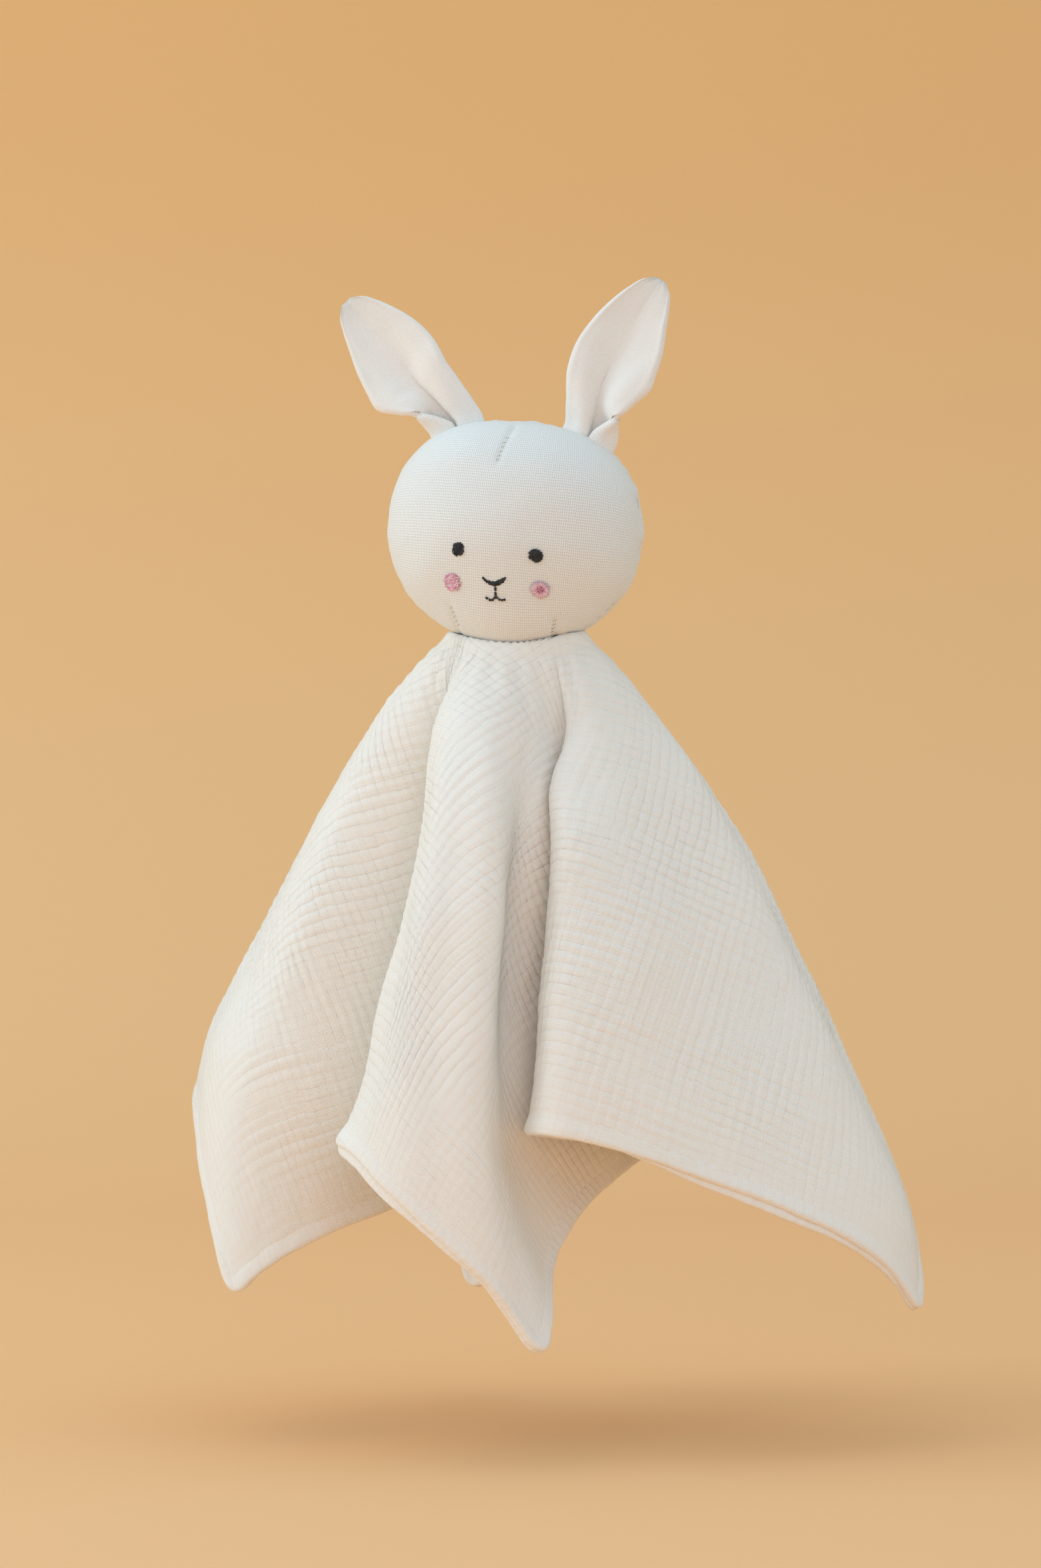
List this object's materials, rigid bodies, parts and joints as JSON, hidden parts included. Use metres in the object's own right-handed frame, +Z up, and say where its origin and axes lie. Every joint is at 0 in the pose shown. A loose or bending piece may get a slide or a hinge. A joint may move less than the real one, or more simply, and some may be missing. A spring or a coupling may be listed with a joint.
{
  "type": "comfort blanket lovey",
  "caption": "Stuffed bunny head with stitched face and upright ears, sewn to the middle of a square double muslin blanket that hangs from it in folds.",
  "frame": {"origin": "the crown of the head, on the side seam, where a hand holds the lovey up", "axes": "+Z up through the crown, the face looks along -Y, +X to the right as seen from the front"},
  "size_m": [0.2673, 0.2056, 0.3838],
  "materials": {
    "head_cloth": "off-white single gauze, fine sideways rib, matt",
    "ear_cloth": "off-white gauze, matt",
    "muslin": "warm off-white crinkled double muslin, matt",
    "wadding": "white loose wadding",
    "white_thread": "off-white sewing thread",
    "black_thread": "near-black satin stitch",
    "pink_thread": "pink satin stitch"
  },
  "bodies": {
    "head": {"head_front": "head_cloth", "head_back": "head_cloth", "head_filling": "wadding", "side_seam_thread": "white_thread", "forehead_dart": "white_thread", "left_chin_dart": "white_thread", "right_chin_dart": "white_thread", "left_eye": "black_thread", "right_eye": "black_thread", "left_cheek": "pink_thread", "right_cheek": "pink_thread", "nose": "black_thread", "nose_stem": "black_thread", "mouth": "black_thread"},
    "left_ear": {"left_ear_front": "ear_cloth", "left_ear_back": "ear_cloth", "left_ear_wadding": "wadding", "left_ear_tuck": "ear_cloth"},
    "right_ear": {"right_ear_front": "ear_cloth", "right_ear_back": "ear_cloth", "right_ear_wadding": "wadding", "right_ear_tuck": "ear_cloth"},
    "neck_tack": {"neck_tack_stitches": "white_thread"},
    "neck_seam": {"neck_seam_stitches": "white_thread"},
    "blanket": {"blanket_outer": "muslin", "blanket_lining": "muslin", "blanket_edge_seam": "muslin"}
  },
  "joints": [
    {"name": "left_ear_bend", "type": "hinge", "parent": "head", "child": "left_ear", "pos_m": [-0.02798, 0, -0.00137], "axis": [0.9225, 0, 0.3859], "range_deg": [-60, 50], "stiffness_Nm_per_rad": 0.004},
    {"name": "right_ear_bend", "type": "hinge", "parent": "head", "child": "right_ear", "pos_m": [0.02731, 0, -0.00504], "axis": [0.9041, 0, -0.4274], "range_deg": [-60, 50], "stiffness_Nm_per_rad": 0.004},
    {"name": "neck_nod", "type": "hinge", "parent": "head", "child": "neck_tack", "pos_m": [0, 0, -0.0159], "axis": [1, 0, 0], "range_deg": [-10, 10]},
    {"name": "neck_tilt", "type": "hinge", "parent": "neck_tack", "child": "neck_seam", "pos_m": [0, 0, -0.0159], "axis": [0, 1, 0], "range_deg": [-10, 10]},
    {"name": "neck_turn", "type": "hinge", "parent": "neck_seam", "child": "blanket", "pos_m": [0, 0, -0.0159], "axis": [0, 0, 1], "range_deg": [-30, 30], "stiffness_Nm_per_rad": 0.002}
  ]
}
